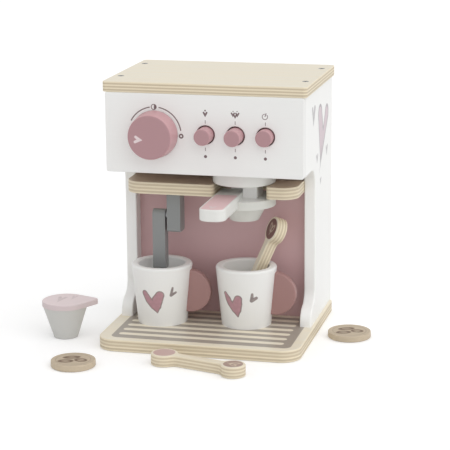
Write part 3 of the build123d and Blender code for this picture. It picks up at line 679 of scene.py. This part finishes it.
# ---- prints of the cups ----
# Each cup's large heart as two chains of discs that meet at the tip, and its small one as one chain:
# millimetres around the wall from the front, height, radius.
CUP_HEARTS = {
    "cup_left": (
        ((1.9, 24.8, 0.8), (-1.4, 31.3, 3.9), (-6.4, 36.4, 3.6), (-9.9, 42.5, 2.9)),
        ((1.9, 24.8, 0.8), (2.0, 31.0, 3.8), (2.1, 36.5, 5.3), (4.5, 41.4, 4.2)),
        ((19.3, 43.2, 1.1), (14.9, 41.2, 1.5), (16.1, 48.0, 1.0)),
    ),
    "cup_right": (
        (
            (-2.5, 23.8, 0.9), (-5.0, 30.5, 4.0), (-10.6, 36.2, 3.2), (-12.3, 39.7, 3.2),
            (-14.9, 44.4, 1.9),
        ),
        ((-2.5, 23.8, 0.9), (-3.2, 30.2, 4.2), (-3.0, 35.8, 5.0), (-1.9, 40.2, 3.9)),
        ((14.8, 41.3, 1.5), (10.6, 39.3, 1.9), (10.9, 45.3, 1.1)),
    ),
}


def cup_hearts(cup):
    """Returns the printer of a large heart and a small one, drawn with a brush, on one cup's wall."""
    low, high = corners(cup)
    rim = (high.y - low.y) / 2
    wall = rim - 2.5  # the cup's radius half-way up
    axis_x, axis_y = low.x + rim, middle(cup).y
    left_half, right_half, small_heart = CUP_HEARTS[cup]

    def build(finish, base, x, y, z):
        around = (x - axis_x).math("ARCTAN2", axis_y - y) * wall
        point = finish.vector(around, z, 0.0)
        outside = finish.faces(FRONT, 0.0)
        large = chain(finish, point, left_half).least(chain(finish, point, right_half))
        small = chain(finish, point, small_heart)
        brush = finish.noise(around, z, 0.0, scale=0.35, seed=9.0)
        edge = finish.mix((brush * 3.0 - 1.2).clamped(), paints().ink, paints().ink_grey)
        pink = finish.tint(paints().print_pink, 1.0 + (brush - 0.5) * 0.3)
        outline = finish.mix(large.inside(0.35) * outside * 0.9, base, edge)
        filled = finish.mix((large + 0.9).inside(0.7) * outside, outline, pink)
        return finish.mix(small.inside(0.35) * outside * 0.85, filled, edge)

    return build


# ---- print of the base ----
def drip_grille(finish, base, facing):
    """Grey grille with light slots, printed on the base in front of the back panel."""
    x, y, z = finish.axes()
    low, high = corners("base_board")
    front_margin, side_margin, first_slot, slot_margin, corner = 8.2, 11.5, 12.3, 5.0, 6.5
    hidden = 10.0  # the print ends behind the back panel's face
    wider = 1.4  # and reaches a little further to the right than to the left
    front, back = low.y + front_margin, corners("back_panel")[0].y + hidden
    half_width, half_depth = high.x - side_margin, (back - front) / 2
    panel = rounded_bar(x - wider, y - (front + back) / 2, half_width + wider, half_depth, corner)
    pitch = prints().stripe_pitch * MM
    first = front + first_slot
    row = (y - first).wrap(-pitch / 2, pitch / 2)
    slots = slot(x, row, half_width - slot_margin, prints().stripe_width * MM / 2)
    slots = slots.most(first - pitch / 2 - y)
    top = (z > high.z - 0.5) * facing
    speck = finish.noise(x, y, z, scale=1.8, seed=2.0)
    ink = finish.tint(paints().ink_grey, 1.0 + (speck - 0.5) * 0.12)
    grille = panel.inside(0.3) * (1.0 - slots.inside(0.3)) * top
    return finish.mix(grille * 0.92, base, ink)


def shelf_top_shade(finish, base, facing):
    """Painted shade: the shelf's upper face, under the cabinet, is painted darker and browner than the
    rest.
    """
    return finish.mix(finish.faces(UP), base, finish.tint(base, (0.66, 0.55, 0.50)))


# ---- prints of the loose pieces ----
def bean(u, v, half_width, half_height, line):
    """A coffee bean: its outline and its curved seam."""
    outline = abs(oval(u, v, half_width, half_height)) - line / 2
    seam = abs(v - (u * u * u) / (half_width * half_width * 2.5)) - line * 0.4
    return outline.least(seam.most(abs(u) - half_width * 0.8))


def pad_beans(node, turn):
    """Returns the engraver of three beans and a ring on one coffee pad."""
    centre = middle(node)
    low, high = corners(node)

    def build(finish, base, x, y, z):
        u, v = turned(x - centre.x, y - centre.y, turn)
        marks = union(*(
            bean(*turned(u - bean_u, v - bean_v, degrees), half_width, half_height, 2.0)
            for (bean_u, bean_v), half_width, half_height, degrees in (
                ((-5.0, -5.8), 5.4, 3.4, 15.0),
                ((-3.1, 5.4), 5.9, 3.1, 20.0),
                ((7.1, -0.4), 4.6, 3.6, -8.0),
            )
        ))
        top = finish.faces(UP)
        burnt = finish.noise(x, y, z, scale=0.5, seed=5.0)
        circle = ring(u, v, (high.x - low.x) / 2 - RING_INSET, RING_WIDTH)
        brown = paints().burnt_brown
        face = finish.mix(top * (burnt * 0.25), base, brown)
        rimmed = finish.mix(circle.inside(0.4) * top * 0.3, face, brown)
        return finish.mix(marks.inside(0.5) * top * (0.75 + burnt * 0.4), rimmed, brown)

    return build


def head_disc(place, along, face, radius, colour, motif):
    """Returns the printer of a disc with a paler motif on one end of a stirrer. place is in metres."""

    def build(finish, base, facing):
        u = finish.along(along, place)
        v = finish.along(Vector(face).cross(Vector(along)), place)
        front = finish.faces(face, 0.8)
        printed = finish.mix(disc(u, v, radius).inside(0.3) * front, base, colour)
        if not motif:
            return printed
        petals = oval(*turned(u - 1.0, abs(v) - 2.3, 25.0), 3.6, 1.6)
        petals = abs(petals).least(abs(v).most(abs(u + 1.0) - 4.5)) - 0.45
        return finish.mix(petals.inside(0.4) * front * 0.6, printed, paints().ply_light)

    return build


# ---- operators ----
class TOY_OT_plywood_boards(bpy.types.Operator):
    """Varnished plywood of the base, the top and the shelf, with the printed drip grille and painted shade
    on the shelf's top
    """

    bl_idname = "toy.plywood_boards"
    bl_label = "Plywood boards"

    def execute(self, context):
        prints_of = {"base_board": drip_grille, "top_board": None, "shelf_board": shelf_top_shade}
        for number, (node, build) in enumerate(prints_of.items()):
            low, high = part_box(node)
            thickness = (high.z - low.z) * MM
            material = plywood(node, UP, SIDEWAYS, (0, 0, low.z), thickness, 11.0 * number, build)
            dress(material, node)
        return {"FINISHED"}


class TOY_OT_cabinet(bpy.types.Operator):
    """White cabinet with printed sides and its pink back"""

    bl_idname = "toy.cabinet"
    bl_label = "Cabinet"

    def execute(self, context):
        dress(painted("front_panel_paint", paints().white, "X", 1.0, build=control_signs), "front_panel")
        for seed, side in enumerate(SIDES):
            name = f"side_paint_{side}"
            # Painted light: the side panels get the lighter copy of the white paint
            material = painted(name, paints().lit_white, "Z", 20.0 + seed, build=side_hearts)
            dress(material, f"side_panel_{side}")
        dress(painted("rear_paint", paints().white, "Z", 31.0), "rear_cover", "box_floor")
        dress(painted("back_paint", paints().back_pink, "Z", 37.0), "back_panel")
        return {"FINISHED"}


class TOY_OT_controls(bpy.types.Operator):
    """Pink knob with its pale heart, and the three push buttons"""

    bl_idname = "toy.controls"
    bl_label = "Knob and buttons"

    def execute(self, context):
        knob = middle("knob")
        front = corners("knob")[0].y

        def pointer(finish, base, x, y, z):
            point = finish.vector(x - knob.x, z - knob.z, 0.0)
            tip, notch = (-6.6, -2.4), (-11.3, -1.9)
            mark = heart(finish, point, tip, (-12.2, 0.3), (-12.9, -4.2), notch, (1.2, 1.2), 0.3)
            # Painted light: the knob's sides are painted lighter than its face
            paint = painted_side_light(finish, base, 0.32)
            return finish.mix(mark.most(y - (front + 1.0)).inside(0.2), paint, paints().pale_pink)

        def button_side_light(finish, base, x, y, z):
            # Painted light: each button's sides are painted lighter than its face
            return painted_side_light(finish, base, 0.26)

        dress(painted("knob_paint", paints().pink, "X", 41.0, build=pointer), "knob")
        for seed, name in enumerate(BUTTONS):
            paint = f"button_paint_{name}"
            dress(painted(paint, paints().pink, "Y", 44.0 + seed, build=button_side_light), f"button_{name}")
        return {"FINISHED"}


class TOY_OT_filter_holder(bpy.types.Operator):
    """White filter holder with the pink inset of its handle"""

    bl_idname = "toy.filter_holder"
    bl_label = "Filter holder"

    def execute(self, context):
        low, high = corners("filter_handle")
        middle_x, half_width = (low.x + high.x) / 2, (high.x - low.x) / 2
        border, nose = 1.8, 30.0  # around the inset, and the radius of its rounded front
        inset_front, inset_back = low.y + border, low.y + 60.0
        half_length = (inset_back - inset_front) / 2

        def inset(finish, base, x, y, z):
            u, v = x - middle_x, y - (inset_front + half_length)
            area = rounded_bar(u, v, half_width - border, half_length, 2.0)
            area = area.most(disc(u, v + (half_length - nose), nose).least(-v - 2.0))
            on_top = finish.faces(UP)
            pink = finish.mix(area.inside(0.25) * on_top, base, paints().inset_pink)
            point = finish.vector(u, y - (inset_front + 9.0), 0.0)
            mark = plain_heart(finish, point, (-1.0, 0.0), 3.6, 8.5)
            return finish.mix(mark.inside(0.25) * on_top * 0.8, pink, paints().pale_pink)

        def lit_bowl_top(finish, base, x, y, z):
            # Painted light: the bowl's upward face gets the lighter copy of the white paint
            return finish.mix(finish.faces(UP), base, paints().lit_white)

        dress(painted("collar_paint", paints().filter_white, "Z", 51.0), "filter_collar")
        # Painted light: the neck, in shade under the shelf, gets the lighter copy of the white paint
        dress(painted("neck_paint", paints().lit_white, "Z", 52.0), "filter_neck")
        dress(painted("bowl_paint", paints().bowl_white, "Z", 53.0, build=lit_bowl_top), "filter_bowl")
        handle_paint = painted("filter_handle_paint", paints().filter_white, "Y", 54.0, build=inset)
        dress(handle_paint, "filter_handle")
        return {"FINISHED"}


class TOY_OT_steam_wand(bpy.types.Operator):
    """Grey steam wand and its hanger"""

    bl_idname = "toy.steam_wand"
    bl_label = "Steam wand"

    def execute(self, context):
        dress(painted("wand_paint", paints().grey, "Z", 61.0), "steam_wand", "wand_hanger")
        return {"FINISHED"}


class TOY_OT_cups(bpy.types.Operator):
    """White cups with printed hearts and pink disc handles"""

    bl_idname = "toy.cups"
    bl_label = "Cups"

    def execute(self, context):
        for seed, side in enumerate(SIDES):
            cup, pink = f"cup_{side}", paints().handle_pink
            dress(painted(f"{cup}_paint", paints().white, "Z", 70.0 + seed, 0.36, cup_hearts(cup)), cup)
            dress(painted(f"{cup}_handle_paint", pink, "Z", 74.0 + seed), f"cup_handle_{side}")
        return {"FINISHED"}


class TOY_OT_stirrers(bpy.types.Operator):
    """Plywood stirrers with printed ends"""

    bl_idname = "toy.stirrers"
    bl_label = "Stirrers"

    def execute(self, context):
        low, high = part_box("stirrer_lying")
        thickness = (high.z - low.z) * MM
        away = Vector((math.cos(LYING_TURN), math.sin(LYING_TURN), 0.0))
        big_end = Vector((low.x + BIG_END / MM, high.y - BIG_END / MM, high.z))
        small_end = big_end + away * STIRRER_SPAN / MM
        pink_disc = head_disc(big_end, away, UP, BIG_PRINT, paints().disc_pink, False)
        brown_disc = head_disc(small_end, away, UP, SMALL_PRINT, paints().disc_brown, True)

        def both_ends(finish, base, facing):
            return brown_disc(finish, pink_disc(finish, base, facing), facing)

        lying = plywood("lying_stirrer_ply", UP, away, low, thickness, 81.0, both_ends)
        dress(lying, "stirrer_lying")

        axis = Vector(STANDING_AXIS).normalized()
        face = Vector(STANDING_FACE).normalized()
        head = Vector(STANDING_FOOT) + axis * (SMALL_END + STIRRER_SPAN) / MM
        back = head - face * thickness / MM / 2
        head_print = head_disc(head, axis, face, STANDING_PRINT, paints().ink_brown, True)
        standing = plywood("standing_stirrer_ply", face, axis, back, thickness, 85.0, head_print)
        dress(standing, "stirrer_in_cup")
        return {"FINISHED"}


class TOY_OT_creamer(bpy.types.Operator):
    """Light grey creamer with its pale pink lid"""

    bl_idname = "toy.creamer"
    bl_label = "Creamer"

    def execute(self, context):
        dress(painted("creamer_paint", paints().light_grey, "Z", 91.0), "creamer_cup")
        cup = middle("creamer_cup")

        def lid_hearts(finish, base, x, y, z):
            point = finish.vector(x - cup.x, y - cup.y, 0.0)
            left = plain_heart(finish, point, (-4.4, 0.5), 4.4, 17.0)
            right = plain_heart(finish, point, (5.6, 8.5), 2.6, 12.0)
            top = finish.faces(UP)
            brush = finish.noise(x, y, z, scale=0.5, seed=6.0)
            # Painted shade: the lid's sides are painted darker than its top
            paint = finish.tint(base, top * 0.13 + 0.87)
            brushed = union(left, right).inside(0.6) * top * (brush * 0.35 + 0.05)
            return finish.mix(brushed, paint, paints().ink)

        lid_paint = painted("creamer_lid_paint", paints().pale_pink, "X", 93.0, build=lid_hearts)
        dress(lid_paint, "creamer_lid")
        return {"FINISHED"}


class TOY_OT_coffee_pads(bpy.types.Operator):
    """Wooden coffee pads with an engraved ring and beans"""

    bl_idname = "toy.coffee_pads"
    bl_label = "Coffee pads"

    def execute(self, context):
        for seed, side in enumerate(SIDES):
            node = f"coffee_pad_{side}"
            dress(beech(f"{node}_wood", "X", 101.0 + seed, pad_beans(node, 6.0 * seed)), node)
        return {"FINISHED"}


class TOY_OT_inner_wood(bpy.types.Operator):
    """Plain wood of the dowels, the carrier, the collars, the knob's washer and its axle"""

    bl_idname = "toy.inner_wood"
    bl_label = "Inner wood"

    def execute(self, context):
        dress(beech("dowel_wood", "Z", 111.0), *(f"{name}_dowels" for name in DOWELS), "filter_dowel")
        dress(beech("axle_wood", "Y", 113.0), "creamer_dowel", "knob_axle", "knob_washer", "button_carrier")
        dress(beech("collar_wood", "X", 117.0), *(f"button_collar_{name}" for name in BUTTONS))
        return {"FINISHED"}


class TOY_OT_fasteners(bpy.types.Operator):
    """Zinc plated screws and washers"""

    bl_idname = "toy.fasteners"
    bl_label = "Fasteners"

    def execute(self, context):
        dress(zinc("screw_zinc", 121.0), "lid_screws", "base_screws", "rear_screws")
        dress(zinc("pivot_zinc", 123.0), "wand_pivot_screw", "wand_washer", "knob_screw")
        return {"FINISHED"}


def coil(name, low, high, turns, wire):
    """A closed coil of round wire along y that fills the box from low to high. All in metres."""
    steps_a_turn, corners_a_ring = 24, 8
    steps = turns * steps_a_turn
    ways = [math.tau * corner / corners_a_ring for corner in range(corners_a_ring)]
    radius = (high.x - low.x) / 2 - wire
    start = Vector(((low.x + high.x) / 2, low.y + wire, (low.z + high.z) / 2))
    length = high.y - low.y - 2 * wire
    climb = length / (math.tau * radius * turns)
    tube = bmesh.new()
    rings = []
    for step in range(steps + 1):
        angle = math.tau * step / steps_a_turn
        out = Vector((math.cos(angle), 0.0, math.sin(angle)))
        place = start + out * radius + Vector((0.0, length * step / steps, 0.0))
        side = out.cross(Vector((-math.sin(angle), climb, math.cos(angle))).normalized())
        round_wire = [place + (out * math.cos(way) + side * math.sin(way)) * wire for way in ways]
        rings.append([tube.verts.new(point) for point in round_wire])
    for before, after in zip(rings, rings[1:]):
        for corner in range(corners_a_ring):
            tube.faces.new((before[corner], before[corner - 1], after[corner - 1], after[corner]))
    tube.faces.new(rings[0])
    tube.faces.new(rings[-1])
    bmesh.ops.recalc_face_normals(tube, faces=tube.faces)
    for face in tube.faces:
        face.smooth = True
    mesh = bpy.data.meshes.new(name)
    tube.to_mesh(mesh)
    tube.free()
    piece = bpy.data.objects.new(name, mesh)
    bpy.context.scene.collection.objects.link(piece)
    return piece


class TOY_OT_button_springs(bpy.types.Operator):
    """Return springs of the buttons, made as coils of round wire"""

    bl_idname = "toy.button_springs"
    bl_label = "Button springs"

    def execute(self, context):
        material = zinc("spring_zinc", 125.0)
        for name in BUTTONS:
            node = f"button_spring_{name}"
            low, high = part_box(node)
            spring = coil(f"coil_{name}", low, high, SPRING_TURNS, SPRING_WIRE)
            spring.data.materials.append(material)
            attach(spring, "machine")
            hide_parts(node)
            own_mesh(spring)
        return {"FINISHED"}


class TOY_OT_stage(bpy.types.Operator):
    """Pale floor, soft light and the camera"""

    bl_idname = "toy.stage"
    bl_label = "Stage"

    def execute(self, context):
        scene = context.scene
        scene.view_settings.view_transform = "Standard"
        self.add_floor(scene)
        self.add_room(scene)
        self.add_sun(scene)
        self.add_camera(scene)
        return {"FINISHED"}

    def add_floor(self, scene):
        half = FLOOR_HALF
        mesh = bpy.data.meshes.new("floor")
        mesh.from_pydata(
            [(-half, -half, 0), (half, -half, 0), (half, half, 0), (-half, half, 0)], [], [(0, 1, 2, 3)]
        )
        floor = bpy.data.objects.new("floor", mesh)
        scene.collection.objects.link(floor)
        finish = Finish("floor_paper", 0.9)
        x, y, z = finish.axes()
        paper = finish.noise(x, y, z, scale=0.4, detail=3.0)
        finish.colour(finish.tint(FLOOR_WHITE, 1.0 + (paper - 0.5) * 0.01))
        nodes, links = finish.tree.nodes, finish.tree.links
        glow = nodes.new("ShaderNodeEmission")
        glow.inputs["Color"].default_value = WHITE_LIGHT
        camera = Value(finish, nodes.new("ShaderNodeLightPath").outputs["Is Camera Ray"])
        finish.feed(glow.inputs["Strength"], camera * scene.toy_stage.floor_glow)
        both = nodes.new("ShaderNodeAddShader")
        links.new(finish.surface.outputs["BSDF"], both.inputs[0])
        links.new(glow.outputs["Emission"], both.inputs[1])
        links.new(both.outputs["Shader"], nodes["Material Output"].inputs["Surface"])
        mesh.materials.append(finish.material)
        floor.location.z = -FLOOR_DROP

    def add_room(self, scene):
        world = bpy.data.worlds.new("room")
        scene.world = world
        world.use_nodes = True
        tree = world.node_tree
        background = tree.nodes["Background"]
        background.inputs["Color"].default_value = WHITE_LIGHT
        path = tree.nodes.new("ShaderNodeLightPath")
        level = tree.nodes.new("ShaderNodeMapRange")
        level.inputs["To Min"].default_value = scene.toy_stage.room_light
        level.inputs["To Max"].default_value = 1.0
        tree.links.new(path.outputs["Is Camera Ray"], level.inputs["Value"])
        tree.links.new(level.outputs["Result"], background.inputs["Strength"])

    def add_sun(self, scene):
        stage = scene.toy_stage
        lamp = bpy.data.lights.new("soft_sun", "SUN")
        lamp.energy = stage.sun_strength
        lamp.angle = stage.sun_size
        light = bpy.data.objects.new("soft_sun", lamp)
        light.rotation_euler = Vector(SUN_FROM).to_track_quat("Z", "Y").to_euler()
        scene.collection.objects.link(light)

    def add_camera(self, scene):
        stage = scene.toy_stage
        yaw, pitch, roll = stage.camera_yaw, stage.camera_pitch, stage.camera_roll
        level = math.cos(pitch)
        forward = Vector((-math.sin(yaw) * level, math.cos(yaw) * level, math.sin(pitch)))
        right = Vector((math.cos(yaw), math.sin(yaw), 0.0))
        up = right.cross(forward)
        rolled_right = right * math.cos(roll) + up * math.sin(roll)
        rolled_up = up * math.cos(roll) - right * math.sin(roll)
        rotation = Matrix((rolled_right, rolled_up, -forward)).transposed()
        lens = bpy.data.cameras.new("camera")
        lens.lens = stage.camera_lens
        lens.sensor_width = SENSOR_WIDTH
        lens.sensor_fit = "HORIZONTAL"
        camera = bpy.data.objects.new("camera", lens)
        camera.matrix_world = Matrix.Translation(Vector(stage.camera_place)) @ rotation.to_4x4()
        scene.collection.objects.link(camera)
        scene.camera = camera


class TOY_PT_panel(bpy.types.Panel):
    """Buttons for each group of pieces, and the colours"""

    bl_idname = "TOY_PT_panel"
    bl_label = "Toy coffee machine"
    bl_space_type = "VIEW_3D"
    bl_region_type = "UI"
    bl_category = "Toy"

    def draw(self, context):
        for operator in OPERATORS:
            self.layout.operator(operator.bl_idname)
        for group in (context.scene.toy_paints, context.scene.toy_prints, context.scene.toy_stage):
            box = self.layout.box()
            for name in group.bl_rna.properties.keys():
                if name not in ("rna_type", "name"):
                    box.prop(group, name)


OPERATORS = (
    TOY_OT_plywood_boards,
    TOY_OT_cabinet,
    TOY_OT_controls,
    TOY_OT_filter_holder,
    TOY_OT_steam_wand,
    TOY_OT_cups,
    TOY_OT_stirrers,
    TOY_OT_creamer,
    TOY_OT_coffee_pads,
    TOY_OT_inner_wood,
    TOY_OT_fasteners,
    TOY_OT_button_springs,
    TOY_OT_stage,
)
PROPERTY_GROUPS = {"toy_paints": ToyPaints, "toy_prints": ToyPrints, "toy_stage": ToyStage}


def register():
    for group in PROPERTY_GROUPS.values():
        bpy.utils.register_class(group)
    for name, group in PROPERTY_GROUPS.items():
        setattr(bpy.types.Scene, name, PointerProperty(type=group))
    for operator in OPERATORS:
        bpy.utils.register_class(operator)
    bpy.utils.register_class(TOY_PT_panel)


def unregister():
    bpy.utils.unregister_class(TOY_PT_panel)
    for operator in reversed(OPERATORS):
        bpy.utils.unregister_class(operator)
    for name in PROPERTY_GROUPS:
        delattr(bpy.types.Scene, name)
    for group in reversed(PROPERTY_GROUPS.values()):
        bpy.utils.unregister_class(group)


def main():
    register()
    for operator in OPERATORS:
        group, name = operator.bl_idname.split(".")
        getattr(getattr(bpy.ops, group), name)()


if __name__ == "__main__":
    main()
